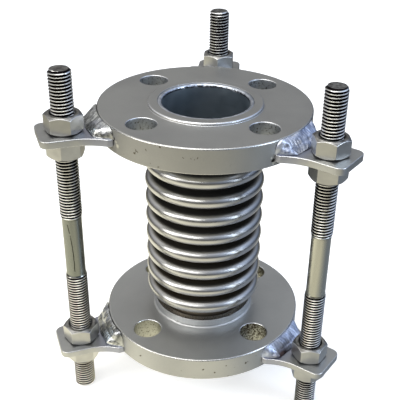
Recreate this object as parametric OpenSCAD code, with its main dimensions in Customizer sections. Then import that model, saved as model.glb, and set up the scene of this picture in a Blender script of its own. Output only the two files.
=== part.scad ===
// Flanged metal bellows expansion joint with three threaded tie rods.
// Millimetres. The pipe axis is Z. The origin is the centre of the lower rim's outer plane,
// where the bolt holes open. The lower raised face stands below it, the back tie rod is
// towards +Y, and the part stands on the ends of its rods.

/* [Flanges] */
// Outer diameter of each flange
flange_d = 117.3; // [108:0.1:124]
// Thickness of the rim, without the raised face
flange_t = 14.1; // [13.5:0.1:20]
// Diameter of the raised sealing face
raised_d = 63.5; // [56:0.1:72]
// Height of the raised sealing face
raised_h = 1.6; // [0.8:0.1:3]
// Diameter of the low hub on the inner side, at its top
hub_d = 58.6; // [54:0.1:62]
// Height of the hub above the rim
hub_h = 5.4; // [3:0.1:7]
// Radius of the fillet where the hub meets the rim
hub_fillet = 1.6; // [0.5:0.1:2.5]
// Diameter of the bolt circle
bolt_circle = 88.9; // [86:0.1:92]
// Diameter of the bolt holes
bolt_hole_d = 15.9; // [10:0.1:17]
// Number of bolt holes
bolt_count = 4; // [4:4:8]
// Turn of the bolt holes away from the middle between the axes, in degrees
bolt_turn = 3.4; // [-5:0.1:5]
// Chamfer on the edges of the rim
rim_chamfer = 0.5; // [0.2:0.1:1.5]
// Chamfer at the mouth of the hub's bore, round the bellows' cuff
bore_chamfer = 0.8; // [0.2:0.1:1.5]

/* [Bellows] */
// Number of convolutions
conv_count = 8; // [3:1:12]
// Distance from one convolution to the next
conv_pitch = 11.7; // [9:0.1:16]
// Share of the pitch that a crest's arc takes up, along the wall's middle line
crest_share = 0.607; // [0.5:0.001:0.66]
// Diameter over the crests
crest_d = 68.2; // [62:0.1:80]
// Outer diameter of the straight cuffs
cuff_d = 49.2; // [46:0.1:50]
// Thickness of the bellows wall
bellows_wall = 0.6; // [0.3:0.05:1.2]
// Straight neck between the lower rim and the first convolution
lower_neck = 10.75; // [7.5:0.05:25]
// Straight neck between the last convolution and the upper rim
upper_neck = 13.25; // [7.5:0.05:25]

/* [Face welds] */
// Width of the weld groove round the bore, from the cuff's inner wall
face_weld_w = 2.3; // [1.5:0.1:3]
// Depth of the weld groove
face_weld_t = 2; // [1.2:0.1:4]
// Distance of the weld's crown below the raised face
face_weld_dip = 0.2; // [0:0.05:0.5]

/* [Lugs] */
// Angle of the back tie rod and its lugs, in degrees
back_angle = 90; // [80:1:100]
// Angle of the left tie rod and its lugs, as fitted by hand
left_angle = 205; // [195:1:215]
// Angle of the right tie rod and its lugs, as fitted by hand
right_angle = 330; // [320:1:340]
// Thickness of the lug plates
lug_t = 4; // [2.5:0.1:4.8]
// Width of a lug at its outer end
lug_end_w = 26; // [24:0.5:30]
// Width of a lug where it reaches the rim
lug_root_w = 37; // [33:0.5:44]
// Distance from the tie rod's axis to the lug's outer end
lug_end_l = 14; // [12:0.5:20]
// Radius of the lug's outer corners
lug_corner_r = 4.5; // [1:0.5:8]
// Radial clearance of the tie rod in the lug's hole
lug_hole_play = 0.75; // [0.25:0.05:1.5]
// Drop of the upper back lug's top face below the top of the upper rim, as fitted by hand
upper_back_lug_drop = 7; // [5:0.1:9.8]
// Drop of the upper left lug
upper_left_lug_drop = 6.4; // [5:0.1:9.8]
// Drop of the upper right lug
upper_right_lug_drop = 7.6; // [5:0.1:9.8]
// Drop of the lower back lug's top face below the top of the lower rim
lower_back_lug_drop = 8.4; // [5:0.1:9.8]
// Drop of the lower left lug
lower_left_lug_drop = 9.8; // [5:0.1:9.8]
// Drop of the lower right lug
lower_right_lug_drop = 7; // [5:0.1:9.8]

/* [Lug welds] */
// Leg of the weld along the lug
weld_leg = 7.1; // [3:0.1:8]
// Distance of the weld's upper toe below the top of the rim
weld_toe = 0.4; // [0:0.1:2]
// Bulge of the weld's face
weld_bulge = 0.7; // [0.2:0.1:1.2]

/* [Tie rods] */
// Diameter over the thread
rod_d = 12; // [10:0.5:13]
// Depth by which the plain shank lies below the thread's crest
shank_step = 0.57; // [0.2:0.01:1]
// Pitch of the thread
thread_pitch = 1.75; // [1:0.05:2.5]
// Depth of the thread, from its crest to its root
thread_depth = 0.95; // [0.4:0.05:1.4]
// Length of the lower thread
lower_thread_l = 81.5; // [60:0.5:90]
// Length of the plain shank, above which the upper thread takes the rest of the rod
shank_l = 37.5; // [20:0.5:60]
// Reach of the back tie rod above the upper rim's outer plane
back_rod_rise = 29.3; // [20:0.1:50]
// Reach of the left tie rod above the upper rim's outer plane
left_rod_rise = 26.8; // [20:0.1:50]
// Reach of the right tie rod above the upper rim's outer plane
right_rod_rise = 28.4; // [20:0.1:50]
// Reach of the three tie rods below the lower rim's outer plane
rod_drop = 31.6; // [20:0.1:50]
// Chamfer on the rod ends
rod_chamfer = 1.2; // [0.5:0.1:2]

/* [Nuts] */
// Width across the flats
nut_af = 18; // [17:0.5:22]
// Height of a nut
nut_h = 10; // [6:0.5:12]
// Depth of the countersink at each end of a nut's bore
nut_sink = 0.8; // [0.3:0.1:1.5]
// Radial gap between the rod and the plain bore of a nut
thread_gap = 0.05; // [0.02:0.01:0.2]
// Gap between the corners of an upper nut and the toe of its lug's weld
nut_weld_gap = 0.81; // [0.1:0.01:4]

/* [Hidden] */
$fn = 96;
eps = 0.01;

// Gap that keeps curved seats just clear of each other
seat = 0.05;
// Gap between a bellows cuff and the flange's bore round it
cuff_gap = 0.2;
// Distance inside the tie rod's axis at which a lug's flanks start to flare
flare_lead = 1;
// How far inside the rim a lug's outline starts, before it is cut to the rim
lug_overrun = 12;
// Chamfer of a nut's faces: its angle, and how far it starts inside the flats
nut_chamfer_angle = 35;
nut_face_inset = 0.65;
// Share of the thread's pitch that its flat crest takes up
crest_flat_share = 0.14;
// Turns of the nuts as run tight by hand, in degrees: back, left, right
upper_top_turns = [31.6, 5.4, 41.4];
upper_under_turns = [12, 32.3, 55.4];
lower_top_turns = [15, 13.3, 1.2];
lower_under_turns = [50, 20, 40];

// Distance between the outer planes of the two rims, and the heights of the raised faces
over_rims = 2 * flange_t + lower_neck + conv_count * conv_pitch + upper_neck;
lower_face_z = -raised_h;
upper_face_z = over_rims + raised_h;
hub_top = flange_t + hub_h;
rim_r = flange_d / 2;

// The wall's middle line is made of arcs that add up to half the pitch
crest_arc = crest_share * conv_pitch / 2;
root_arc = conv_pitch / 2 - crest_arc;
half_wall = bellows_wall / 2;
root_c = cuff_d / 2 + root_arc - half_wall;
crest_c = crest_d / 2 - crest_arc - half_wall;
cuff_inner_r = cuff_d / 2 - bellows_wall;
first_root = flange_t + lower_neck;
cuff_low = lower_face_z + face_weld_t;
cuff_high = upper_face_z - face_weld_t;

bore_r = cuff_d / 2 + cuff_gap;
groove_r = cuff_inner_r + face_weld_w;

// Heights of the lugs' top faces: back, left, right, and of the welds' upper toes
upper_lug_tops = [
    over_rims - upper_back_lug_drop, over_rims - upper_left_lug_drop, over_rims - upper_right_lug_drop
];
lower_lug_tops = [
    flange_t - lower_back_lug_drop, flange_t - lower_left_lug_drop, flange_t - lower_right_lug_drop
];
upper_toe_z = over_rims - weld_toe;
lower_toe_z = flange_t - weld_toe;

// The tie rods stand just far enough out for the nuts to turn clear of the lugs' welds
nut_corner_r = nut_af / sqrt(3);
rod_circle_r = rim_r + seat + weld_leg + nut_weld_gap + nut_corner_r;
lug_end_r = rod_circle_r + lug_end_l;
// The flanks of a lug run parallel past the nut, then flare towards the rim
flare_x = rod_circle_r - flare_lead;
flare_l = flare_x - rim_r;
flare_rise = (lug_root_w - lug_end_w) / 2;
flare_r = (flare_l * flare_l + flare_rise * flare_rise) / (2 * flare_rise);

steel = [0.54, 0.54, 0.51];
bright_steel = [0.66, 0.66, 0.65];
bead_steel = [0.66, 0.69, 0.74];
rod_steel = [0.6, 0.59, 0.54];

// Half of a flange's section, its raised face down and the rim's outer plane at height 0
module flange_section() {
    hub_r = hub_d / 2;
    difference() {
        union() {
            translate([0, lower_face_z])
                square([raised_d / 2, raised_h + eps]);
            polygon([
                [0, 0], [rim_r - rim_chamfer, 0], [rim_r, rim_chamfer],
                [rim_r, flange_t - rim_chamfer], [rim_r - rim_chamfer, flange_t], [0, flange_t]
            ]);
            translate([0, flange_t - eps])
                square([hub_r, hub_h + eps]);
            translate([0, flange_t - eps])
                square([hub_r + hub_fillet, hub_fillet + eps]);
        }
        translate([hub_r + hub_fillet, flange_t + hub_fillet])
            circle(r = hub_fillet);
        translate([-eps, lower_face_z - eps])
            square([bore_r + eps, hub_top + raised_h + 1]);
        polygon([
            [0, hub_top - bore_chamfer], [bore_r, hub_top - bore_chamfer],
            [bore_r + bore_chamfer + eps, hub_top + eps], [0, hub_top + eps]
        ]);
        translate([0, lower_face_z - eps])
            square([groove_r + seat, face_weld_t + eps]);
    }
}

// A flange with its raised face down
module flange() {
    difference() {
        rotate_extrude() flange_section();
        for (i = [0 : bolt_count - 1])
            rotate(180 / bolt_count + bolt_turn + i * 360 / bolt_count)
                translate([bolt_circle / 2, 0, -1])
                    cylinder(h = flange_t + 2, d = bolt_hole_d);
    }
}

module lower_flange() {
    color(steel) flange();
}

// The upper flange is the lower one turned over, with its bolt holes above the lower ones
module upper_flange() {
    color(steel)
        translate([0, 0, over_rims]) mirror([0, 0, 1]) flange();
}

// Region inside one surface of the convoluted wall, from the axis outwards
module convoluted_region(root_r, crest_r) {
    translate([0, cuff_low])
        square([root_c - root_r, cuff_high - cuff_low]);
    difference() {
        translate([0, first_root])
            square([root_c, conv_count * conv_pitch]);
        for (i = [0 : conv_count])
            translate([root_c, first_root + i * conv_pitch])
                circle(r = root_r);
    }
    for (i = [0 : conv_count - 1])
        translate([0, first_root + (i + 0.5) * conv_pitch]) {
            translate([0, -crest_r])
                square([crest_c, 2 * crest_r]);
            translate([crest_c, 0])
                circle(r = crest_r);
        }
}

// U-shaped convolutions and two straight cuffs, formed from one tube
module bellows() {
    color(bright_steel)
        rotate_extrude()
            intersection() {
                difference() {
                    convoluted_region(root_arc - half_wall, crest_arc + half_wall);
                    convoluted_region(root_arc + half_wall, crest_arc - half_wall);
                }
                translate([cuff_inner_r - 1, cuff_low])
                    square([crest_d / 2, cuff_high - cuff_low]);
            }
}

// Ring of weld metal in the groove round a flange's bore, with a rounded inner lip
module face_weld() {
    lip = (face_weld_t - face_weld_dip) / 2;
    low = lower_face_z + face_weld_dip;
    color(bead_steel)
        rotate_extrude()
            difference() {
                translate([cuff_inner_r, low])
                    square([face_weld_w, face_weld_t - face_weld_dip]);
                difference() {
                    translate([cuff_inner_r - eps, low - eps])
                        square([lip + eps, lip + eps]);
                    translate([cuff_inner_r + lip, low + lip])
                        circle(r = lip);
                }
            }
}

module lower_face_weld() {
    face_weld();
}

module upper_face_weld() {
    translate([0, 0, over_rims]) mirror([0, 0, 1]) face_weld();
}

// Outline of a lug that points along +X, from inside the rim to its outer end
module lug_outline() {
    end_hw = lug_end_w / 2;
    inner_x = rim_r - lug_overrun;
    translate([flare_x - eps, -end_hw])
        square([lug_end_r - lug_corner_r - flare_x + eps, lug_end_w]);
    translate([flare_x, -end_hw + lug_corner_r])
        square([lug_end_r - flare_x, lug_end_w - 2 * lug_corner_r]);
    for (side = [-1, 1])
        translate([lug_end_r - lug_corner_r, side * (end_hw - lug_corner_r)])
            circle(r = lug_corner_r);
    difference() {
        translate([inner_x, -lug_root_w / 2])
            square([flare_x - inner_x, lug_root_w]);
        for (side = [-1, 1])
            translate([flare_x, side * (end_hw + flare_r)])
                circle(r = flare_r);
    }
}

// A lug plate with its top face at the given height, cut to the curve of the rim
module lug(top_z, angle) {
    color(steel)
        rotate(angle) translate([0, 0, top_z - lug_t])
            linear_extrude(lug_t)
                difference() {
                    lug_outline();
                    circle(r = rim_r + seat);
                    translate([rod_circle_r, 0])
                        circle(d = rod_d + 2 * lug_hole_play);
                }
}

// A fillet weld between the top of a lug and the rim, ending at the lug's flanks
module lug_weld(base_z, toe_z, angle) {
    height = toe_z - base_z;
    root = rim_r + seat;
    chord = sqrt(weld_leg * weld_leg + height * height);
    face_r = (chord * chord / 4 + weld_bulge * weld_bulge) / (2 * weld_bulge);
    back_off = face_r - weld_bulge;
    color(bead_steel)
        rotate(angle) translate([0, 0, base_z])
            intersection() {
                rotate_extrude()
                    intersection() {
                        translate([root, 0])
                            square([weld_leg, height]);
                        translate([root + weld_leg / 2 - back_off * height / chord,
                                   height / 2 - back_off * weld_leg / chord])
                            circle(r = face_r, $fn = 360);
                    }
                linear_extrude(height) lug_outline();
            }
}

// Outline of a thread's grooves between two heights, each groove closed on itself round the rod
function groove_points(crest_r, low, high) = [
    for (i = [0 : floor((high - low) / thread_pitch) - 1])
        for (corner = [[0, crest_flat_share], [-thread_depth, (1 + crest_flat_share) / 2], [0, 1]])
            [crest_r + corner[0], low + (i + corner[1]) * thread_pitch]
];

// A rod threaded at both ends, with a thinner plain shank between the threads
module tie_rod(rise, angle) {
    length = rod_drop + over_rims + rise;
    shank_top = lower_thread_l + shank_l;
    crest_r = rod_d / 2;
    shank_r = crest_r - shank_step;
    color(rod_steel)
        rotate(angle) translate([rod_circle_r, 0, -rod_drop])
            rotate_extrude($fn = 48)
                polygon(concat(
                    [[0, 0], [crest_r - rod_chamfer, 0], [crest_r, rod_chamfer]],
                    groove_points(crest_r, rod_chamfer, lower_thread_l - shank_step),
                    [[crest_r, lower_thread_l - shank_step], [shank_r, lower_thread_l],
                     [shank_r, shank_top], [crest_r, shank_top + shank_step]],
                    groove_points(crest_r, shank_top + shank_step, length - rod_chamfer),
                    [[crest_r, length - rod_chamfer], [crest_r - rod_chamfer, length], [0, length]]
                ));
}

// A hexagon nut on a lug's top face, chamfered on both faces; turn sets its flats
module nut(base_z, angle, turn) {
    face_r = nut_af / 2 - nut_face_inset;
    outer_r = nut_corner_r + seat;
    drop = (outer_r - face_r) * tan(nut_chamfer_angle);
    bore = rod_d / 2 + thread_gap;
    color(bright_steel)
        rotate(angle) translate([rod_circle_r, 0, base_z]) rotate(turn - angle)
            difference() {
                intersection() {
                    cylinder(h = nut_h, r = nut_corner_r, $fn = 6);
                    rotate_extrude()
                        polygon([
                            [0, 0], [face_r, 0], [outer_r, drop],
                            [outer_r, nut_h - drop], [face_r, nut_h], [0, nut_h]
                        ]);
                }
                translate([0, 0, -1])
                    cylinder(h = nut_h + 2, r = bore);
                translate([0, 0, nut_h - nut_sink])
                    cylinder(h = nut_sink + eps, r1 = bore, r2 = bore + nut_sink + eps);
                translate([0, 0, -eps])
                    cylinder(h = nut_sink + eps, r1 = bore + nut_sink + eps, r2 = bore);
            }
}

// The nut under a lug whose top face is at top_z
module under_nut(top_z, angle, turn) {
    nut(top_z - lug_t - nut_h, angle, turn);
}

lower_flange();
upper_flange();
bellows();
lower_face_weld();
upper_face_weld();
lug(upper_lug_tops[0], back_angle);  // upper_back_lug
lug(upper_lug_tops[1], left_angle);  // upper_left_lug
lug(upper_lug_tops[2], right_angle);  // upper_right_lug
lug(lower_lug_tops[0], back_angle);  // lower_back_lug
lug(lower_lug_tops[1], left_angle);  // lower_left_lug
lug(lower_lug_tops[2], right_angle);  // lower_right_lug
lug_weld(upper_lug_tops[0], upper_toe_z, back_angle);  // upper_back_lug_weld
lug_weld(upper_lug_tops[1], upper_toe_z, left_angle);  // upper_left_lug_weld
lug_weld(upper_lug_tops[2], upper_toe_z, right_angle);  // upper_right_lug_weld
lug_weld(lower_lug_tops[0], lower_toe_z, back_angle);  // lower_back_lug_weld
lug_weld(lower_lug_tops[1], lower_toe_z, left_angle);  // lower_left_lug_weld
lug_weld(lower_lug_tops[2], lower_toe_z, right_angle);  // lower_right_lug_weld
tie_rod(back_rod_rise, back_angle);  // back_tie_rod
tie_rod(left_rod_rise, left_angle);  // left_tie_rod
tie_rod(right_rod_rise, right_angle);  // right_tie_rod
nut(upper_lug_tops[0], back_angle, upper_top_turns[0]);  // upper_back_top_nut
nut(upper_lug_tops[1], left_angle, upper_top_turns[1]);  // upper_left_top_nut
nut(upper_lug_tops[2], right_angle, upper_top_turns[2]);  // upper_right_top_nut
under_nut(upper_lug_tops[0], back_angle, upper_under_turns[0]);  // upper_back_under_nut
under_nut(upper_lug_tops[1], left_angle, upper_under_turns[1]);  // upper_left_under_nut
under_nut(upper_lug_tops[2], right_angle, upper_under_turns[2]);  // upper_right_under_nut
nut(lower_lug_tops[0], back_angle, lower_top_turns[0]);  // lower_back_top_nut
nut(lower_lug_tops[1], left_angle, lower_top_turns[1]);  // lower_left_top_nut
nut(lower_lug_tops[2], right_angle, lower_top_turns[2]);  // lower_right_top_nut
under_nut(lower_lug_tops[0], back_angle, lower_under_turns[0]);  // lower_back_under_nut
under_nut(lower_lug_tops[1], left_angle, lower_under_turns[1]);  // lower_left_under_nut
under_nut(lower_lug_tops[2], right_angle, lower_under_turns[2]);  // lower_right_under_nut
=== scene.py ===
"""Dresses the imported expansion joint: threads, weld beads, rounded edges, worn steel, light and camera."""
import math

import bmesh
import bpy
import numpy as np
from mathutils import Matrix, Vector, noise


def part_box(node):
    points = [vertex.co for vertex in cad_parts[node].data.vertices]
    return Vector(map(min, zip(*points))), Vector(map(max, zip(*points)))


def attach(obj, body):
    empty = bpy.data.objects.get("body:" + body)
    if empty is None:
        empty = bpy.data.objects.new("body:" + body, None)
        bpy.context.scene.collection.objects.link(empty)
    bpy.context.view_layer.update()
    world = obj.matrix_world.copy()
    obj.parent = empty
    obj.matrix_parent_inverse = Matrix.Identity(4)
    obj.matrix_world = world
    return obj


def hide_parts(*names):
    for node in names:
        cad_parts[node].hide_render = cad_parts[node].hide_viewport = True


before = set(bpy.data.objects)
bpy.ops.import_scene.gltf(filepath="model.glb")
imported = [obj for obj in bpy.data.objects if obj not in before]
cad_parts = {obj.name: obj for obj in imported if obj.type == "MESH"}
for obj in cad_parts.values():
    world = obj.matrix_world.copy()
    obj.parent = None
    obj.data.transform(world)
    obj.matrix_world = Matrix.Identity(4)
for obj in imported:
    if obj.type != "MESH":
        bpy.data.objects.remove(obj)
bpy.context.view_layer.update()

MM = 0.001
BODY = "root"
LEVELS = ("upper", "lower")
# Where each tie rod stands round the pipe axis, in degrees
SIDES = {"back": 90.0, "left": 205.0, "right": 330.0}

# Sizes of the solids, in millimetres; heights count from the lower rim's outer plane
RIM_R = 58.65
RAISED_H = 1.6
RAISED_R = 31.75
OVER_RIMS = 145.8
BOLT_CIRCLE_R = 44.45
ROD_CIRCLE_R = 77.0
CUFF_INNER_R = 24.0
CUFF_R = 24.6
CREST_R = 34.1
WALL = 0.6
CONV_COUNT = 8
CONV_PITCH = 11.7
CREST_ARC = 3.55
FIRST_ROOT = 24.85
FACE_WELD_T = 2.0
FACE_WELD_W = 2.3
FACE_WELD_DIP = 0.2
THREAD_R = 6.0
THREAD_PITCH = 1.75
THREAD_DEPTH = 0.95
SHANK_R = 5.43
ROD_CHAMFER = 1.2
ROD_DROP = 31.6
LUG_END_HALF_W = 13.0
LUG_ROOT_HALF_W = 18.5
LUG_FLARE_LEAD = 1.0
WELD_LEG = 7.1
WELD_GAP = 0.05

# Each rod's lower thread and shank, as the photograph shows them; the solids all have the back rod's lengths
LOWER_THREAD_L = {"back": 81.5, "left": 84.0, "right": 85.1}
SHANK_L = {"back": 37.5, "left": 35.0, "right": 35.9}

# Form of the rolled thread, as shares of its pitch, and the turns over which it runs out into the shank
THREAD_CREST = 0.14
THREAD_FLANK = 0.38
RUN_OUT_TURNS = 1.6

# Widths of the rounded edges, in millimetres
RAISED_EDGE_W = 1.1
RAISED_FOOT_W = 0.3
BORE_EDGE_W = 0.12
HOLE_EDGE_W = 0.55
RIM_EDGE_W = 0.28
LUG_EDGE_W = 0.45
NUT_EDGE_W = 0.25
# Edges this close to the bolt circle belong to a bolt hole
HOLE_REACH = 8.5

# The dark seam on the left rod's shank, in millimetres
SEAM_LOW = 55.0
SEAM_HIGH = 85.3
SEAM_SIDE = 0.87
SEAM_BEND = 2.2
SEAM_HALF_W = 0.16

# Where finishes and painted shade begin and end, in millimetres: first distances from the pipe axis
HOLE_RING = (34.5, 54.5)
HUB_TOP_RING = (26.2, 29.2)
HUB_FILLET_RING = (29.3, 31.2)
RIM_FACE = (58.3, 58.5)
OUTER_EDGES = (55.0, 57.0)
SHADED_ROOTS = (30.2, 32.9)
TUBE_INSIDE = (24.1, 24.4)
BEAD_INNER_LIP = (24.0, 24.3)
HEAT_TINT = (66.5, 74.0)
# then heights
BETWEEN_RIMS = (13.8, 132.0)
LOWER_TO_UPPER = (30.0, 60.0)
ROD_TOPS = (170.5, 170.9)
# and last a distance from the axis of the nut's rod
NUT_MOUTH = (6.7, 7.3)

# Marks on the upper rim beside the near ends of the lug welds, as (place, size) in millimetres: spatter with
# painted glints, and craters painted dark as painted shade
SPATTER_GLINTS = (((-41.0, -41.9, 138.9), 1.0), ((-40.2, -42.7, 137.1), 1.3),
           ((37.5, -45.1, 136.7), 0.8), ((38.6, -44.2, 133.6), 1.1))
CRATER_SHADE = (((-41.9, -41.0, 140.3), 0.8), ((-42.6, -40.4, 138.9), 0.7), ((38.3, -44.5, 135.3), 1.2))

# Lug welds. Passes are (middle, half width, height) and spots are (place along, place across, size, height).
# Sizes and heights of spots are in millimetres, and the rest are shares of the weld's face.
ONE_PASS = ((0.5, 0.55, 1.0),)
BEADS = {
    ("upper", "left"): dict(passes=ONE_PASS, ripple=0.07, lumps=0.55, seed=3.0,
                            spots=((0.72, 0.4, 2.2, 0.9), (0.93, 0.1, 1.4, -0.8))),
    ("upper", "right"): dict(passes=((0.25, 0.3, 0.8), (0.68, 0.36, 0.9)), ripple=0.09, lumps=0.6, seed=11.0,
                             spots=((-0.86, 0.06, 1.6, 0.15), (-0.9, 0.6, 1.4, -1.1),
                                    (0.1, 0.35, 1.6, -0.7))),
    ("upper", "back"): dict(passes=ONE_PASS, ripple=0.08, lumps=0.5, seed=17.0),
    ("lower", "left"): dict(passes=((0.24, 0.25, 0.9), (0.74, 0.3, 1.2)), ripple=0.08, lumps=0.5, seed=23.0,
                            spots=((0.85, 0.1, 2.0, 0.7),)),
    ("lower", "right"): dict(passes=((0.18, 0.2, 0.7), (0.64, 0.42, 0.6)), ripple=0.05, lumps=0.35, seed=31.0,
                             spots=((-0.9, 0.05, 1.7, 0.45), (-0.78, 0.1, 1.2, 0.3)), burn=1.0),
    ("lower", "back"): dict(passes=ONE_PASS, ripple=0.08, lumps=0.5, seed=41.0),
}

# The photograph's viewpoint, in pixels, degrees and millimetres, found from the outlines
VIEW_WIDTH = 400
VIEW_FOCAL = 755.3
VIEW_CENTRE = (240.0, 210.0)
VIEW_ELEVATION = 30.07
VIEW_TURN = 2.43
VIEW_ROLL = 2.45
VIEW_DISTANCE = 443.5
VIEW_OFFSET = (20.92, -1.31)
VIEW_HEIGHT = 79.8
SENSOR_MM = 36.0

# Half the floor's side, the lamps' common target and the lamps, in metres and watts
FLOOR_HALF = 3.0
LAMP_TARGET = (0, 0, 0.07)
LAMPS = (
    # name, place, width and height, power, colour
    ("window", (-0.5, -1.0, 0.95), (1.0, 0.5), 5.6, (1.0, 0.99, 0.97)),
    ("overhead", (-0.1, -0.1, 1.1), (0.6, 0.6), 3.0, (1.0, 1.0, 1.0)),
    ("left", (-0.95, -0.55, 0.5), (0.5, 0.6), 3.6, (1.0, 0.97, 0.92)),
    ("right", (1.0, -0.35, 0.45), (0.35, 0.8), 5.0, (0.76, 0.87, 1.0)),
)

# Colours of the studio round the object: from the horizon up to overhead, and from left to right over that
SKY_STOPS = ((0.0, (0.06, 0.06, 0.065)), (0.08, (0.07, 0.07, 0.075)), (0.24, (0.20, 0.20, 0.205)),
             (0.50, (0.34, 0.34, 0.34)), (0.78, (0.62, 0.62, 0.62)), (1.0, (1.0, 1.0, 1.0)))
SIDE_STOPS = ((0.05, (2.6, 2.6, 2.6)), (0.30, (1.2, 1.17, 1.12)), (0.5, (1.0, 1.0, 1.0)),
              (0.70, (0.95, 1.03, 1.2)), (0.95, (1.7, 2.1, 2.9)))


# Pieces


def add_piece(name, mesh, node):
    """A new object that rides on the body and stands for a CAD node."""
    piece = bpy.data.objects.new(name, mesh)
    bpy.context.scene.collection.objects.link(piece)
    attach(piece, BODY)
    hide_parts(node)
    return piece


def store(mesh, name, values):
    """One number for each vertex, read by a material."""
    layer = mesh.attributes.new(name, "FLOAT", "POINT")
    layer.data.foreach_set("value", np.asarray(values, np.float32))


def mesh_from(name, points, faces, merge=0.0, dissolve=0.0, **attributes):
    """A mesh with normals outwards from points in millimetres, with numbers to store for each of them.

    Points closer than merge and edges shorter than dissolve, both in metres, are cleaned away.
    """
    mesh = bpy.data.meshes.new(name)
    mesh.from_pydata((np.asarray(points) * MM).tolist(), [], faces)
    for label, values in attributes.items():
        store(mesh, label, values)
    bm = bmesh.new()
    bm.from_mesh(mesh)
    if merge:
        bmesh.ops.remove_doubles(bm, verts=bm.verts, dist=merge)
    if dissolve:
        bmesh.ops.dissolve_degenerate(bm, edges=bm.edges, dist=dissolve)
    bmesh.ops.recalc_face_normals(bm, faces=bm.faces)
    bm.to_mesh(mesh)
    bm.free()
    return mesh


def shade(mesh, angle):
    """Smooth faces, with edges sharper than the angle kept sharp."""
    mesh.polygons.foreach_set("use_smooth", [True] * len(mesh.polygons))
    mesh.set_sharp_from_angle(angle=math.radians(angle))


def apply_modifiers(piece):
    """Turns the piece's modifiers into its mesh."""
    graph = bpy.context.evaluated_depsgraph_get()
    mesh = bpy.data.meshes.new_from_object(piece.evaluated_get(graph))
    piece.modifiers.clear()
    piece.data = mesh
    return piece


def grid_faces(rows, columns, closed_rows=False, closed_columns=True):
    """Quads between rows of points, where row i holds points i * columns onwards."""
    faces = []
    for i in range(rows if closed_rows else rows - 1):
        here = i * columns
        above = (i + 1) % rows * columns
        for j in range(columns if closed_columns else columns - 1):
            beside = (j + 1) % columns
            faces.append((here + j, here + beside, above + beside, above + j))
    return faces


def lathe(name, profile, segments):
    """A ring turned about Z from a closed outline of (radius, height) points."""
    angles = np.arange(segments) * 2 * math.pi / segments
    points = []
    for radius, height in profile:
        heights = np.full(segments, height)
        points.append(np.column_stack([radius * np.cos(angles), radius * np.sin(angles), heights]))
    faces = grid_faces(len(profile), segments, closed_rows=True)
    return mesh_from(name, np.concatenate(points), faces, dissolve=1e-7)


def arc(centre, radius, start, end, steps):
    """Points of an arc in the (radius, height) plane, angles in degrees."""
    angles = np.radians(np.linspace(start, end, steps + 1))
    return [(centre[0] + radius * math.cos(a), centre[1] + radius * math.sin(a)) for a in angles]


def rod_axis(side):
    """Where a tie rod's axis crosses the level, in millimetres."""
    angle = math.radians(SIDES[side])
    return ROD_CIRCLE_R * math.cos(angle), ROD_CIRCLE_R * math.sin(angle)


def rounded_copy(name, node, width, width_at=None):
    """The CAD node's own mesh with its sharp edges rounded, by one width or by one for each place."""
    sharp_angle = math.radians(25.0)
    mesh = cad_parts[node].data.copy()
    bm = bmesh.new()
    bm.from_mesh(mesh)
    bmesh.ops.remove_doubles(bm, verts=bm.verts, dist=1e-6)
    bmesh.ops.dissolve_limit(bm, angle_limit=math.radians(0.5), verts=bm.verts, edges=bm.edges)
    bmesh.ops.recalc_face_normals(bm, faces=bm.faces)
    layers = bm.edges.layers.float
    weight = layers.get("bevel_weight_edge") or layers.new("bevel_weight_edge")
    for edge in bm.edges:
        sharp = len(edge.link_faces) == 2 and edge.calc_face_angle() > sharp_angle
        share = width_at(*(edge.verts[0].co / MM)) / width if width_at else 1.0
        edge[weight] = share if sharp else 0.0
    bm.to_mesh(mesh)
    bm.free()
    mesh.materials.clear()
    piece = add_piece(name, mesh, node)
    bevel = piece.modifiers.new("edges", "BEVEL")
    bevel.width = width * MM
    bevel.segments = 3
    bevel.limit_method = "WEIGHT"
    # With widths of its own a mesh keeps them: its short edges would otherwise narrow them all
    bevel.use_clamp_overlap = width_at is None
    bevel.loop_slide = width_at is None
    apply_modifiers(piece)
    shade(piece.data, 35.0)
    weighted = piece.modifiers.new("flat faces", "WEIGHTED_NORMAL")
    weighted.keep_sharp = True
    weighted.weight = 80
    return apply_modifiers(piece)


def flange_edge_width(x, y, z):
    """Rounding of a flange's edges, widest at the raised face's rim, where it is a slope of its own."""
    radius = math.hypot(x, y)
    outermost = z < -RAISED_H / 2 or z > OVER_RIMS + RAISED_H / 2
    if abs(radius - RAISED_R) < 0.05:
        return RAISED_EDGE_W if outermost else RAISED_FOOT_W
    if radius < RAISED_R:
        return BORE_EDGE_W
    return HOLE_EDGE_W if abs(radius - BOLT_CIRCLE_R) < HOLE_REACH else RIM_EDGE_W


# Shapes


def bellows_profile():
    """Outer surface of the convoluted wall from bottom to top, then its inner surface back down."""
    root_arc = CONV_PITCH / 2 - CREST_ARC
    root_c = CUFF_R + root_arc - WALL / 2
    crest_c = CREST_R - CREST_ARC - WALL / 2
    steps = 9
    neck_points = 6
    low = FACE_WELD_T - RAISED_H
    high = OVER_RIMS - low

    def surface(offset, cuff_r):
        waves = []
        for k in range(CONV_COUNT):
            root = FIRST_ROOT + k * CONV_PITCH
            crest = root + CONV_PITCH / 2
            waves += arc((root_c, root), root_arc - offset, 180, 90, steps)[(1 if k else 0):]
            waves += arc((crest_c, crest), CREST_ARC + offset, -90, 90, 2 * steps)
            waves += arc((root_c, root + CONV_PITCH), root_arc - offset, 270, 180, steps)
        below = [(cuff_r, z) for z in np.linspace(low, waves[0][1], neck_points)[:-1]]
        above = [(cuff_r, z) for z in np.linspace(waves[-1][1], high, neck_points)[1:]]
        return below + waves + above

    return surface(WALL / 2, CUFF_R) + surface(-WALL / 2, CUFF_INNER_R)[::-1]


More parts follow.
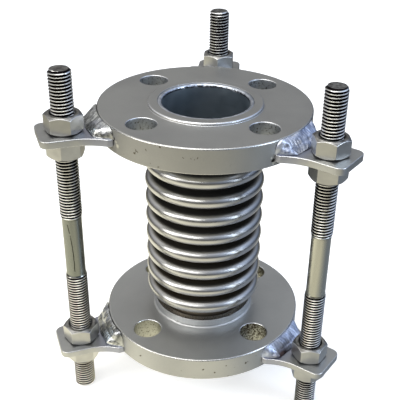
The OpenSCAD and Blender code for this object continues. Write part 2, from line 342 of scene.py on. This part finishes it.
def make_bellows():
    """The formed tube, with each crest pressed in by a few hundredths of a millimetre here and there."""
    segments = 150
    dent_depth = 0.04
    dent_grain = 0.05
    mesh = lathe("bellows_tube", bellows_profile(), segments)
    for vertex in mesh.vertices:
        x, y, z = vertex.co / MM
        radius = math.hypot(x, y)
        if radius > CUFF_R + 2:
            dent = dent_depth * (1 + noise.noise(Vector((x, y, z * 1.4)) * dent_grain))
            scale = 1 - dent / radius
            vertex.co.x *= scale
            vertex.co.y *= scale
    shade(mesh, 60.0)
    return add_piece("bellows_tube", mesh, "bellows")


def make_face_weld(name, node, turned_over):
    """The ring weld round the bore: a rounded lip with shallow ripples and a few notches."""
    segments = 260
    lip = 1.25
    ripple_pitch = 1.3
    ripple_h, lump_h, notch_h = 0.07, 0.14, 0.55
    low, high = FACE_WELD_DIP - RAISED_H, FACE_WELD_T - RAISED_H
    outer = CUFF_INNER_R + FACE_WELD_W
    profile = [(CUFF_INNER_R, high)]
    profile += arc((CUFF_INNER_R + lip, low + lip), lip, 180, 270, 8)
    profile += [(outer - 0.5, low), (outer - 0.15, low + 0.12), (outer, low + 0.3), (outer, high)]
    mesh = lathe(name, profile, segments)
    for vertex in mesh.vertices:
        x, y, z = vertex.co / MM
        radius = math.hypot(x, y)
        if radius > outer - 0.6 or z > high - 0.2:
            continue
        along = math.atan2(y, x) * radius
        notch = max(0.0, noise.noise(Vector((x, y, 3.0)) * 0.6) - 0.2)
        sunk = (ripple_h * math.sin(2 * math.pi * along / ripple_pitch)
                + lump_h * noise.noise(Vector((x, y, z)) * 0.35) + notch_h * notch)
        vertex.co.z = (z + 0.8 * sunk) * MM
        push = 1 + max(sunk, 0) / radius
        vertex.co.x *= push
        vertex.co.y *= push
    if turned_over:
        mesh.transform(Matrix.Translation((0, 0, OVER_RIMS * MM)) @ Matrix.Diagonal((1, 1, -1, 1)))
        mesh.flip_normals()
    shade(mesh, 50.0)
    return add_piece(name, mesh, node)


def thread_form(phase):
    """Height of a rolled thread over its root, from 0 to 1, at a phase from 0 to 1 of its pitch."""
    if phase < THREAD_CREST:
        return 1.0
    if phase < THREAD_CREST + THREAD_FLANK:
        return 1 - (phase - THREAD_CREST) / THREAD_FLANK
    if phase < 1 - THREAD_FLANK:
        return 0.0
    return (phase - 1 + THREAD_FLANK) / THREAD_FLANK


def make_rod(name, node, side):
    """A tie rod with a helical rolled thread at both ends and a plain shank between them."""
    columns = 40
    low_corner, high_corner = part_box(node)
    bottom = low_corner.z / MM
    length = high_corner.z / MM - bottom
    corners = (0.0, THREAD_CREST, THREAD_CREST + THREAD_FLANK, 1 - THREAD_FLANK)
    run_out = RUN_OUT_TURNS * THREAD_PITCH
    root_r = THREAD_R - THREAD_DEPTH
    turns = np.arange(columns) / columns
    angles = turns * 2 * math.pi
    points = []
    crest = []
    plain = []
    shank_low = LOWER_THREAD_L[side]
    shank_high = shank_low + SHANK_L[side]
    stretches = ((0.0, shank_low, shank_low), (shank_high, length, shank_high))
    for start, end, inner in stretches:
        for k in range(-1, int((end - start) / THREAD_PITCH) + 3):
            for corner in corners:
                heights = np.clip(start + (k + corner + turns) * THREAD_PITCH, start, end)
                for height, turn, angle in zip(heights, turns, angles):
                    form = thread_form(((height - start) / THREAD_PITCH - turn) % 1.0)
                    fade = min(1.0, abs(height - inner) / run_out)
                    radius = SHANK_R + (root_r + THREAD_DEPTH * form - SHANK_R) * fade
                    to_end = min(height, length - height)
                    radius = min(radius, THREAD_R - ROD_CHAMFER + to_end)
                    points.append((radius * math.cos(angle), radius * math.sin(angle), height))
                    crest.append(form)
                    plain.append(1 - fade)
    rows = len(points) // columns
    faces = grid_faces(rows, columns)
    faces.append(tuple(reversed(range(columns))))
    faces.append(tuple(range((rows - 1) * columns, rows * columns)))
    points = np.array(points) + (*rod_axis(side), bottom)
    mesh = mesh_from(name, points, faces, merge=2e-6, dissolve=1e-6, crest=crest, plain=plain)
    shade(mesh, 38.0)
    return add_piece(name, mesh, node)


def lug_half_width(radius):
    """Half of a lug's width at a distance from the pipe axis."""
    flare_x = ROD_CIRCLE_R - LUG_FLARE_LEAD
    if radius >= flare_x:
        return LUG_END_HALF_W
    reach = flare_x - RIM_R
    rise = LUG_ROOT_HALF_W - LUG_END_HALF_W
    flare_r = (reach * reach + rise * rise) / (2 * rise)
    depth = min(flare_x - radius, reach)
    return LUG_END_HALF_W + flare_r - math.sqrt(flare_r * flare_r - depth * depth)


def bead_height(across, along, passes):
    """Height of overlapping weld passes above the straight line between the toes, from 0 to 1."""
    best = 0.0
    for middle, width, height in passes:
        wander = 0.05 * noise.noise(Vector((along * 0.2, middle * 7, 1.3)))
        offset = (across - middle - wander) / width
        if abs(offset) < 1:
            best = max(best, height * math.sqrt(1 - offset * offset))
    return best


def make_lug_weld(name, node, side, base_z, height, passes, ripple, lumps, seed, spots=(), burn=0.0):
    """A fillet weld of one or more uneven passes between a lug's top and the rim, tapered at both ends."""
    rows, columns = 44, 150
    ripple_pitch = 1.9
    tapered_share = 0.26
    end_size = 0.25
    toe_share = 0.06
    burn_u, burn_half_w, burn_across = -0.62, 0.3, 0.55
    chord = math.hypot(WELD_LEG, height)
    normal = (height / chord, WELD_LEG / chord)
    inner_r = RIM_R + WELD_GAP
    points = []
    ripple_shade = []
    burnt = []

    def uneven(u, v, layer):
        return noise.noise(Vector((u, v, seed + layer)))

    for i in range(rows):
        across = i / (rows - 1)
        toe_fade = min(1.0, min(across, 1 - across) / toe_share)
        for j in range(columns):
            u = 2 * j / (columns - 1) - 1
            taper = min(1.0, (1 - abs(u)) / tapered_share)
            taper = math.sqrt(1 - (1 - taper) ** 2)
            swell = end_size + (1 - end_size) * taper
            size = min(1.0, swell + 0.06 * uneven(u * 4, across * 2, 0))
            base_r = inner_r + WELD_LEG * size * (1 - across)
            phi = u * math.asin(lug_half_width(base_r) / base_r)
            along = phi * RIM_R
            # Crescents bow along the weld and break up where the heat was uneven
            bow = 2.2 * (across - 0.5) ** 2 + 0.5 * uneven(along * 0.25, across * 1.5, 0)
            strength = max(0.0, 0.6 + uneven(along * 0.2, across * 2.0, 2))
            scallop = (abs(math.sin(math.pi * (along / ripple_pitch + bow))) - 0.6) * strength
            lump = uneven(along * 0.28, across * 1.6, 5)
            small = uneven(along * 0.8, across * 4.5, 7)
            grit = uneven(along * 1.7, across * 9.0, 9)
            rise = bead_height(across, along, passes) * (0.6 + 0.4 * taper)
            rise += toe_fade * (ripple * scallop + lumps * (0.8 * lump + 0.3 * small + 0.16 * grit))
            for spot_u, spot_across, width, spot_height in spots:
                offset = ((u - spot_u) * LUG_ROOT_HALF_W, (across - spot_across) * chord)
                rise += spot_height * math.exp(-(math.hypot(*offset) / width) ** 2)
            rise *= swell
            radius = max(base_r + normal[0] * rise, inner_r)
            z = max(base_z + height * size * across + normal[1] * rise, base_z)
            points.append((radius * math.cos(phi), radius * math.sin(phi), z))
            # Painted light for the material: high on ripple crests and lumps, low in the hollows between them
            shadow = 0.5 + 0.5 * scallop * toe_fade + 0.8 * lumps * (lump + 0.5 * small)
            ripple_shade.append(max(0.0, min(1.0, shadow)))
            near_end = math.exp(-((u - burn_u) / burn_half_w) ** 2) * max(0.0, 1 - across / burn_across)
            burnt.append(min(1.0, burn * 1.6 * near_end))
    for j in range(columns):
        u = 2 * j / (columns - 1) - 1
        phi = u * math.asin(LUG_ROOT_HALF_W / inner_r)
        points.append((inner_r * math.cos(phi), inner_r * math.sin(phi), base_z))
        ripple_shade.append(0.5)
        burnt.append(0.0)
    ring = rows + 1
    faces = grid_faces(ring, columns, closed_rows=True, closed_columns=False)
    faces.append(tuple(i * columns for i in range(ring)))
    faces.append(tuple(i * columns + columns - 1 for i in reversed(range(ring))))
    mesh = mesh_from(name, points, faces, ripple=ripple_shade, burnt=burnt)
    mesh.transform(Matrix.Rotation(math.radians(SIDES[side]), 4, "Z"))
    shade(mesh, 60.0)
    return add_piece(name, mesh, node)


# Materials

# Colour sockets of the mix node, which share their names with the sockets of its other kinds
MIX_FIRST, MIX_SECOND, MIX_RESULT = 6, 7, 2


def rgb(red, green, blue):
    """A colour from 0 to 255 per channel, as the eye sees it, turned into linear light."""
    def linear(value):
        value /= 255
        return value / 12.92 if value <= 0.04045 else ((value + 0.055) / 1.055) ** 2.4
    return (linear(red), linear(green), linear(blue), 1.0)


class Nodes:
    """Short calls for building the node tree of a material or a world. Lengths are in millimetres."""

    def __init__(self, owner, output="OutputMaterial"):
        owner.use_nodes = True
        self.owner = owner
        self.tree = owner.node_tree
        self.tree.nodes.clear()
        self.output = self.add(output)

    def add(self, kind, **settings):
        """A new shader node with some of its settings changed."""
        node = self.tree.nodes.new("ShaderNode" + kind)
        for key, value in settings.items():
            setattr(node, key, value)
        return node

    def link(self, source, target):
        """A link from an output to an input."""
        self.tree.links.new(source, target)

    def value(self, socket, given):
        """Links an input to an output, or sets it to a number or a colour."""
        if isinstance(given, bpy.types.NodeSocket):
            self.link(given, socket)
        else:
            socket.default_value = given

    def shader(self, kind, **inputs):
        """A shader with some of its inputs set or linked."""
        node = self.add(kind)
        for name, given in inputs.items():
            self.value(node.inputs[name], given)
        return node.outputs[0]

    def join(self, kind, first, *others):
        """A node that takes its inputs in order, such as a mix of two shaders."""
        node = self.add(kind)
        for socket, source in zip(node.inputs, (first, *others)):
            self.link(source, socket)
        return node.outputs[0]

    def finish(self, shader):
        """Makes a shader the tree's surface and gives the material or the world back."""
        self.link(shader, self.output.inputs["Surface"])
        return self.owner

    def math(self, operation, a, b=0.0):
        """Arithmetic on one or two numbers or outputs."""
        node = self.add("Math", operation=operation)
        self.value(node.inputs[0], a)
        self.value(node.inputs[1], b)
        return node.outputs[0]

    def plus(self, a, b):
        """A sum."""
        return self.math("ADD", a, b)

    def minus(self, a, b):
        """A difference."""
        return self.math("SUBTRACT", a, b)

    def times(self, a, b):
        """A product."""
        return self.math("MULTIPLY", a, b)

    def length(self, x, y):
        """Length of a level vector."""
        return self.math("SQRT", self.plus(self.times(x, x), self.times(y, y)))

    def ramp(self, value, low, high, to_low=0.0, to_high=1.0):
        """A number that runs from to_low to to_high while the value goes from low to high."""
        node = self.add("MapRange")
        node.clamp = True
        self.value(node.inputs["Value"], value)
        node.inputs["From Min"].default_value = low
        node.inputs["From Max"].default_value = high
        node.inputs["To Min"].default_value = to_low
        node.inputs["To Max"].default_value = to_high
        return node.outputs["Result"]

    def band(self, value, low, high, soft):
        """One between two values, fading to nought over a soft edge outside them."""
        return self.times(self.ramp(value, low - soft, low), self.ramp(value, high, high + soft, 1.0, 0.0))

    def ragged(self, value, pattern, span):
        """A value that a noise pushes up and down, over a span in all."""
        return self.plus(value, self.times(self.minus(pattern, 0.5), span))

    def mix(self, factor, a, b, blend="MIX"):
        """The first colour where the factor is nought and the second where it is one."""
        node = self.add("Mix", data_type="RGBA", blend_type=blend)
        self.value(node.inputs["Factor"], factor)
        self.value(node.inputs[MIX_FIRST], a)
        self.value(node.inputs[MIX_SECOND], b)
        return node.outputs[MIX_RESULT]

    def shades(self, value, low, high, first, last):
        """A colour that runs from the first to the last while the value goes from low to high."""
        return self.mix(self.ramp(value, low, high), rgb(*first), rgb(*last))

    def color_ramp(self, value, stops):
        """A colour in linear light that runs through (position, colour) stops."""
        node = self.add("ValToRGB")
        self.link(value, node.inputs[0])
        elements = node.color_ramp.elements
        while len(elements) < len(stops):
            elements.new(0.5)
        for element, (position, color) in zip(elements, stops):
            element.position = position
            element.color = (*color, 1)
        return node.outputs[0]

    def attribute(self, name):
        """A number that is stored for each vertex."""
        return self.add("Attribute", attribute_name=name).outputs["Fac"]

    def split(self, vector):
        """The three parts of a vector."""
        node = self.add("SeparateXYZ")
        self.link(vector, node.inputs[0])
        return node.outputs

    def scaled(self, vector, scale):
        """A vector with each of its parts multiplied by its own number."""
        node = self.add("VectorMath", operation="MULTIPLY")
        self.link(vector, node.inputs[0])
        node.inputs[1].default_value = scale
        return node.outputs[0]

    def place(self):
        """Where a point of the surface is, in metres, which is what the noises take."""
        return self.add("TexCoord").outputs["Object"]

    def position(self):
        """Where a point of the surface is: to the right, to the back and up."""
        return self.split(self.scaled(self.place(), (1 / MM, 1 / MM, 1 / MM)))

    def noise(self, vector, scale, detail, rough=0.55):
        """A noise with about so many grains in a metre."""
        node = self.add("TexNoise")
        self.link(vector, node.inputs["Vector"])
        node.inputs["Scale"].default_value = scale
        node.inputs["Detail"].default_value = detail
        node.inputs["Roughness"].default_value = rough
        return node.outputs["Fac"]

    def near(self, place, spot, inner, outer):
        """One within the inner distance of a spot and nought beyond the outer one, with a ragged border."""
        node = self.add("VectorMath", operation="DISTANCE")
        self.link(place, node.inputs[0])
        node.inputs[1].default_value = [value * MM for value in spot]
        away = self.times(node.outputs["Value"], 1 / MM)
        return self.ramp(self.ragged(away, self.noise(place, 1400.0, 2.0), 1.6), inner, outer, 1.0, 0.0)

    def facing_up(self):
        """Upward part of the surface's own normal, from minus one to one."""
        return self.split(self.add("NewGeometry").outputs["True Normal"])["Z"]

    def flatness(self):
        """Nought on upright faces and one on level ones."""
        return self.math("ABSOLUTE", self.facing_up())

    def upright(self):
        """One where the surface stands upright, nought where it lies level."""
        return self.ramp(self.flatness(), 0.35, 0.6, 1.0, 0.0)

    def edge(self):
        """One on rounded edges between level and upright faces."""
        return self.band(self.flatness(), 0.34, 0.93, 0.04)

    def bump(self, height, strength, depth, normal=None):
        """A normal tilted by a height, on top of another one."""
        node = self.add("Bump")
        self.value(node.inputs["Strength"], strength)
        node.inputs["Distance"].default_value = depth * MM
        self.link(height, node.inputs["Height"])
        if normal is not None:
            self.link(normal, node.inputs["Normal"])
        return node.outputs["Normal"]

    def metal(self, color, roughness, normal=None):
        """Makes the tree a bare metal and gives the material back."""
        shader = self.add("BsdfPrincipled")
        self.value(shader.inputs["Base Color"], color)
        self.value(shader.inputs["Roughness"], roughness)
        shader.inputs["Metallic"].default_value = 1.0
        if normal is not None:
            self.link(normal, shader.inputs["Normal"])
        return self.finish(shader.outputs[0])


def material_nodes(name):
    """The empty node tree of a new material."""
    return Nodes(bpy.data.materials.new(name))


def lug_root_glints_and_shade(n, place, color):
    """Spatter painted bright as painted glints, and craters painted dark as painted shade, where the near
    ends of the upper lug welds meet the rim.
    """
    for spot, size in SPATTER_GLINTS:
        color = n.mix(n.times(n.near(place, spot, size * 0.6, size), 0.75), color, rgb(236, 234, 222))
    # Painted shade: the craters are dark discs with no hollow under them
    for spot, size in CRATER_SHADE:
        color = n.mix(n.near(place, spot, size * 0.6, size), color, rgb(40, 36, 32))
    return color


def flange_material():
    """Blasted matt faces, polished edges and steps brightened further as painted highlights, the lower flange
    painted lighter as painted light, and drilled holes that are left rough and specked.
    """
    n = material_nodes("flange_steel")
    place = n.place()
    blotch = n.noise(place, 28.0, 3.0)
    grain = n.noise(place, 1500.0, 2.0)
    speck = n.noise(place, 1000.0, 3.0, 0.65)
    x, y, height = n.position()
    radius = n.length(x, y)
    upright = n.upright()
    upper = n.ramp(height, *LOWER_TO_UPPER)
    # Painted light: the lower flange is painted lighter than the upper one, to lift the shade the upper
    # flange casts on it
    color = n.mix(upper, n.shades(blotch, 0.35, 0.65, (178, 179, 178), (188, 189, 187)),
                  n.shades(blotch, 0.35, 0.65, (165, 165, 163), (175, 175, 172)))

    # Drilled walls, with the most specks at the lower flange's right
    hole = n.times(upright, n.band(radius, *HOLE_RING, 0.5))
    low_right = n.times(n.ramp(x, 0.0, 30.0), n.minus(1.0, upper))
    pitted = n.minus(speck, n.times(low_right, 0.11))
    clean = n.mix(upper, rgb(184, 184, 172), rgb(172, 176, 180))
    drilled = n.mix(n.ramp(pitted, 0.34, 0.46), rgb(72, 64, 54), clean)
    color = n.mix(hole, color, drilled)

    # Small dark pits round the rim
    pits = n.times(n.ramp(radius, *RIM_FACE), n.ramp(n.noise(place, 330.0, 2.0), 0.70, 0.73))
    color = n.mix(n.times(pits, upright), color, rgb(92, 86, 74))

    # Worn edges and the turned top of the hub, painted brighter also as painted highlights along them, but
    # not the fillet at its foot
    between_rims = n.band(height, *BETWEEN_RIMS, 0.2)
    hub = n.times(n.band(radius, *HUB_TOP_RING, 0.2), between_rims)
    fillet = n.times(n.band(radius, *HUB_FILLET_RING, 0.2), between_rims)
    edge = n.times(n.edge(), n.minus(1.0, n.times(fillet, 0.8)))
    brightened = n.math("MAXIMUM", edge, n.times(hub, 0.8))
    polished_highlight = n.shades(radius, *OUTER_EDGES, (232, 234, 237), (196, 196, 193))
    color = lug_root_glints_and_shade(n, place, n.mix(brightened, color, polished_highlight))
    rough = n.minus(n.ramp(grain, 0.3, 0.7, 0.42, 0.54), n.times(brightened, 0.22))
    normal = n.bump(speck, n.ramp(hole, 0.0, 1.0, 0.05, 0.3), 0.3, n.bump(grain, 0.25, 0.12))
    return n.metal(color, rough, normal)


def bellows_material():
    """Satin rolled sheet with fine marks round the tube, with painted shade in the grooves and inside the
    bore.
    """
    n = material_nodes("bellows_steel")
    place = n.place()
    streaks = n.noise(n.scaled(place, (1.0, 1.0, 9.0)), 160.0, 3.0)
    soft = n.noise(place, 45.0, 2.0)
    x, y, height = n.position()
    radius = n.length(x, y)
    color = n.shades(soft, 0.3, 0.7, (186, 186, 185), (197, 197, 195))
    # Painted shade: darker in the grooves and up the crests' upper flanks, browner low down
    groove_shade = n.ramp(n.ragged(radius, soft, 1.2), *SHADED_ROOTS, 1.0, 0.0)
    color = n.mix(groove_shade, color, n.shades(height, 30.0, 120.0, (116, 108, 96), (104, 104, 103)))
    # Painted shade: the tube's inside is darker and bluer than its outside
    inside = n.ramp(radius, *TUBE_INSIDE, 1.0, 0.0)
    color = n.mix(inside, color, n.shades(soft, 0.35, 0.7, (124, 136, 146), (162, 174, 184)))
    rough = n.plus(n.ramp(streaks, 0.3, 0.75, 0.27, 0.31), n.times(groove_shade, 0.2))
    return n.metal(color, rough)


def weld_material(name, low, high, tint, roughness):
    """Bead metal with painted highlights on its ripples and painted shade between them, tinted in patches."""
    n = material_nodes(name)
    place = n.place()
    patch = n.noise(place, 110.0, 3.0)
    speck = n.noise(place, 900.0, 2.0)
    # Painted highlights on the ripples and painted shade between them
    color = n.shades(n.attribute("ripple"), 0.15, 0.75, low, high)
    color = n.mix(n.ramp(patch, 0.5, 0.72, 0.0, 0.6), color, rgb(*tint))
    color = n.mix(n.attribute("burnt"), color, rgb(88, 76, 80))
    return n.metal(color, n.ramp(speck, 0.3, 0.7, *roughness), n.bump(speck, 0.3, 0.12))


def face_weld_material():
    """The smooth bead round the bore, painted pale blue for the bluish-white highlight along it, and dark on
    its ragged inner lip.
    """
    n = material_nodes("face_weld_steel")
    place = n.place()
    soft = n.noise(place, 120.0, 3.0)
    x, y, _ = n.position()
    # Painted highlight: a pale bluish colour for the bead's bluish-white highlight
    color = n.shades(soft, 0.35, 0.65, (186, 194, 208), (222, 227, 234))
    lip = n.ragged(n.length(x, y), n.noise(place, 900.0, 3.0), 1.2)
    color = n.mix(n.ramp(lip, *BEAD_INNER_LIP, 0.85, 0.0), color, rgb(60, 58, 56))
    return n.metal(color, n.ramp(soft, 0.3, 0.7, 0.26, 0.4), n.bump(soft, 0.3, 0.4))


def lug_material():
    """Blasted plate with worn edges, and blue and violet heat tint towards the weld."""
    n = material_nodes("lug_steel")
    place = n.place()
    x, y, _ = n.position()
    blotch = n.noise(place, 70.0, 4.0)
    grain = n.noise(place, 1100.0, 2.0)
    color = n.shades(blotch, 0.35, 0.68, (174, 175, 175), (186, 187, 185))
    heated = n.ramp(n.ragged(n.length(x, y), blotch, 8.0), *HEAT_TINT, 1.0, 0.0)
    color = n.mix(n.times(heated, 0.45), color, rgb(150, 156, 186))
    brightened = n.edge()
    color = n.mix(brightened, color, rgb(220, 220, 218))
    rough = n.minus(n.ramp(grain, 0.3, 0.7, 0.34, 0.48), n.times(brightened, 0.14))
    return n.metal(color, rough, n.bump(grain, 0.2, 0.1))


def seam_mask(n, place, x, y, z):
    """One on the dark broken seam that curves down the front of the left rod's shank."""
    axis_x, axis_y = rod_axis("left")
    bend = n.times(n.math("POWER", n.ramp(z, SEAM_LOW, SEAM_HIGH), 3.0), SEAM_BEND)
    middle = n.ragged(n.minus(axis_x + SEAM_SIDE, bend), n.noise(place, 260.0, 2.0), 0.6)
    apart = n.math("ABSOLUTE", n.minus(x, middle))
    line = n.ramp(apart, SEAM_HALF_W, 1.6 * SEAM_HALF_W, 1.0, 0.0)
    front = n.ramp(y, axis_y - 1.0, axis_y, 1.0, 0.0)
    stretch = n.times(n.band(z, SEAM_LOW, SEAM_HIGH, 0.5), front)
    broken = n.ramp(n.noise(place, 420.0, 1.0), 0.30, 0.38)
    return n.times(n.times(line, stretch), broken)


def rod_material():
    """Rolled thread with painted highlights on its crests and painted shade in its roots, a dull drawn shank
    that is painted darker on the left rod as shade, and mottled top ends.
    """
    n = material_nodes("rod_steel")
    place = n.place()
    marks = n.noise(n.scaled(place, (1.0, 1.0, 0.15)), 500.0, 2.0)
    mottle = n.noise(place, 420.0, 3.0)
    x, y, height = n.position()
    # Painted highlight on the crests and painted shade in the roots, the shade reaching further up the flanks
    # lower down
    high = n.shades(marks, 0.35, 0.65, (232, 232, 230), (244, 244, 242))
    low = n.shades(marks, 0.35, 0.65, (234, 232, 225), (246, 244, 238))
    bright = n.mix(n.ramp(height, 20.0, 100.0), low, high)
    crest = n.minus(n.attribute("crest"), n.ramp(height, 50.0, 120.0, 0.09, 0.0))
    color = n.mix(n.ramp(crest, 0.55, 0.92), rgb(12, 11, 11), bright)
    # Painted shade: the shank is darker on the left rod than on the right one
    shank = n.shades(x, -10.0, 10.0, (132, 135, 128), (172, 172, 162))
    shank = n.mix(seam_mask(n, place, x, y, height), shank, rgb(40, 38, 32))
    color = n.mix(n.ramp(n.attribute("plain"), 0.25, 0.8), color, shank)
    end = n.times(n.ramp(n.flatness(), 0.93, 0.97), n.ramp(height, *ROD_TOPS))
    color = n.mix(end, color, n.shades(mottle, 0.4, 0.6, (110, 109, 107), (182, 182, 180)))
    return n.metal(color, n.ramp(marks, 0.3, 0.7, 0.2, 0.28), n.bump(marks, 0.05, 0.1))


def nut_material():
    """Plain nut with bright chamfers, a scuffed mottled top, painted shade in its mouth and a painted shadow
    under its foot.
    """
    n = material_nodes("nut_steel")
    place = n.place()
    marks = n.noise(n.scaled(place, (1.0, 1.0, 3.0)), 300.0, 4.0)
    soft = n.noise(place, 90.0, 2.0)
    mottle = n.noise(place, 380.0, 3.0)
    flatness = n.flatness()
    color = n.shades(soft, 0.35, 0.68, (176, 176, 173), (192, 192, 188))
    color = n.mix(n.band(flatness, 0.3, 0.74, 0.04), color, rgb(230, 230, 229))
    scuffed = n.shades(mottle, 0.38, 0.62, (92, 90, 86), (158, 157, 154))
    color = n.mix(n.ramp(flatness, 0.79, 0.81, 0.0, 0.75), color, scuffed)
    # Painted shade in the gap round the rod at the nut's mouth, and a painted shadow under its foot
    color = n.mix(n.ramp(n.attribute("from_axis"), *NUT_MOUTH, 0.9, 0.0), color, rgb(22, 20, 19))
    color = n.mix(n.ramp(n.facing_up(), -0.45, -0.2, 1.0, 0.0), color, rgb(16, 15, 14))
    return n.metal(color, n.ramp(marks, 0.3, 0.7, 0.28, 0.4), n.bump(marks, 0.15, 0.15))


def paint(piece, material):
    """Gives a piece one material."""
    piece.data.materials.clear()
    piece.data.materials.append(material)


# Studio


def make_floor():
    """A pale floor that the camera sees as white, and metal as a warm card that is brightest close by."""
    corners = [(x * FLOOR_HALF, y * FLOOR_HALF, 0) for x, y in ((-1, -1), (1, -1), (1, 1), (-1, 1))]
    mesh = bpy.data.meshes.new("floor")
    mesh.from_pydata(corners, [], [(0, 1, 2, 3)])
    floor = bpy.data.objects.new("floor", mesh)
    floor.location.z = -ROD_DROP * MM
    bpy.context.scene.collection.objects.link(floor)
    n = material_nodes("floor_paper")
    ray = n.add("LightPath").outputs
    paper = n.shader("BsdfDiffuse", Color=rgb(226, 224, 214))
    white = n.join("AddShader", n.shader("BsdfDiffuse", Color=(0.95, 0.95, 0.95, 1)),
                   n.shader("Emission", Color=(1, 1, 1, 1), Strength=0.45))
    x, y, _ = n.position()
    reach = n.length(x, y)
    rightwards = n.math("DIVIDE", x, reach)
    left = n.ramp(rightwards, -0.9, -0.3, 1.35, 1.0)
    close = n.ramp(reach, 380.0, 620.0, 1.3, 0.14)
    front = n.ramp(y, 50.0, 220.0, 1.0, 0.5)
    cast = n.shades(rightwards, 0.35, 0.95, (240, 235, 214), (134, 142, 154))
    card = n.shader("Emission", Color=cast, Strength=n.times(left, n.times(close, front)))
    mirrored = n.math("MAXIMUM", ray["Is Glossy Ray"], ray["Is Transmission Ray"])
    for_metal = n.join("MixShader", mirrored, paper, card)
    mesh.materials.append(n.finish(n.join("MixShader", ray["Is Camera Ray"], for_metal, white)))


def make_world():
    """A soft studio: bright overhead, a dim band at the horizon, white to the camera."""
    world = bpy.data.worlds.new("studio")
    bpy.context.scene.world = world
    n = Nodes(world, "OutputWorld")
    x, _, z = n.split(n.add("TexCoord").outputs["Generated"])
    upwards = n.color_ramp(z, SKY_STOPS)
    sideways = n.color_ramp(n.ramp(x, -1.0, 1.0), SIDE_STOPS)
    studio = n.shader("Background", Color=n.mix(1.0, upwards, sideways, "MULTIPLY"))
    white = n.shader("Background", Color=(1, 1, 1, 1))
    n.finish(n.join("MixShader", n.add("LightPath").outputs["Is Camera Ray"], studio, white))


def add_lamp(name, place, size, power, color):
    """A rectangular soft lamp at place, aimed at the lamps' common target."""
    data = bpy.data.lights.new(name, "AREA")
    data.shape = "RECTANGLE"
    data.size, data.size_y = size
    data.energy = power
    data.color = color
    lamp = bpy.data.objects.new(name, data)
    bpy.context.scene.collection.objects.link(lamp)
    lamp.location = place
    lamp.rotation_euler = (Vector(LAMP_TARGET) - Vector(place)).to_track_quat("-Z", "Y").to_euler()


def make_camera():
    """A camera that looks along +Y and down, turned, rolled and offset as the photograph's was."""
    elevation, turn, roll = (math.radians(a) for a in (VIEW_ELEVATION, VIEW_TURN, VIEW_ROLL))
    forward = Vector((0, math.cos(elevation), -math.sin(elevation)))
    level = Vector((1, 0, 0))
    upright = level.cross(forward)
    right = math.cos(roll) * level + math.sin(roll) * upright
    up = math.cos(roll) * upright - math.sin(roll) * level
    target = Vector((0, 0, VIEW_HEIGHT)) + VIEW_OFFSET[0] * right + VIEW_OFFSET[1] * up
    spin = Matrix.Rotation(turn, 3, "Z")
    data = bpy.data.cameras.new("camera")
    data.sensor_width = SENSOR_MM
    data.lens = VIEW_FOCAL / VIEW_WIDTH * SENSOR_MM
    data.shift_x = (VIEW_WIDTH / 2 - VIEW_CENTRE[0]) / VIEW_WIDTH
    data.shift_y = (VIEW_CENTRE[1] - VIEW_WIDTH / 2) / VIEW_WIDTH
    data.clip_start = 0.01
    camera = bpy.data.objects.new("camera", data)
    bpy.context.scene.collection.objects.link(camera)
    matrix = Matrix([spin @ v for v in (right, up, -forward)]).transposed().to_4x4()
    matrix.translation = spin @ (target - forward * VIEW_DISTANCE) * MM
    camera.matrix_world = matrix
    bpy.context.scene.camera = camera


# Assembly

make_camera()
make_world()
make_floor()
for lamp in LAMPS:
    add_lamp(*lamp)

flange_steel = flange_material()
bellows_steel = bellows_material()
rod_steel = rod_material()
nut_steel = nut_material()
lug_steel = lug_material()
bead_silver = weld_material("weld_silver", (112, 114, 112), (222, 224, 222), (172, 176, 190), (0.2, 0.42))
# Painted light: a blue copy of the bead metal for the right-hand welds, for the bluish light falling on them
# from the right
bead_lit_blue = weld_material("weld_lit_blue", (140, 148, 170), (222, 228, 242), (168, 184, 216), (0.34, 0.58))
bore_bead = face_weld_material()

for level in LEVELS:
    flange = f"{level}_flange"
    ring = rounded_copy(f"{flange}_ring", flange, RAISED_EDGE_W, flange_edge_width)
    paint(ring, flange_steel)
    paint(make_face_weld(f"{level}_bore_bead", f"{level}_face_weld", level == "upper"), bore_bead)
paint(make_bellows(), bellows_steel)

for side in SIDES:
    paint(make_rod(f"{side}_threaded_rod", f"{side}_tie_rod", side), rod_steel)
    for level in LEVELS:
        corner = f"{level}_{side}"
        paint(rounded_copy(f"{corner}_plate", f"{corner}_lug", LUG_EDGE_W), lug_steel)
        weld = f"{corner}_lug_weld"
        low, high = (point.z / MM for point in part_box(weld))
        bead = make_lug_weld(f"{corner}_bead", weld, side, low, high - low, **BEADS[level, side])
        # The right-hand welds take the blue copy: painted bluish light
        paint(bead, bead_lit_blue if side == "right" else bead_silver)
        for place in ("top", "under"):
            nut = rounded_copy(f"{corner}_{place}_hexagon", f"{corner}_{place}_nut", NUT_EDGE_W)
            distances = [math.dist((v.co / MM)[:2], rod_axis(side)) for v in nut.data.vertices]
            store(nut.data, "from_axis", distances)
            paint(nut, nut_steel)

bpy.context.scene.view_settings.view_transform = "Standard"
# The CAD nodes are hidden behind the pieces that stand for them, and get one plain steel
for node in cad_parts.values():
    paint(node, nut_steel)
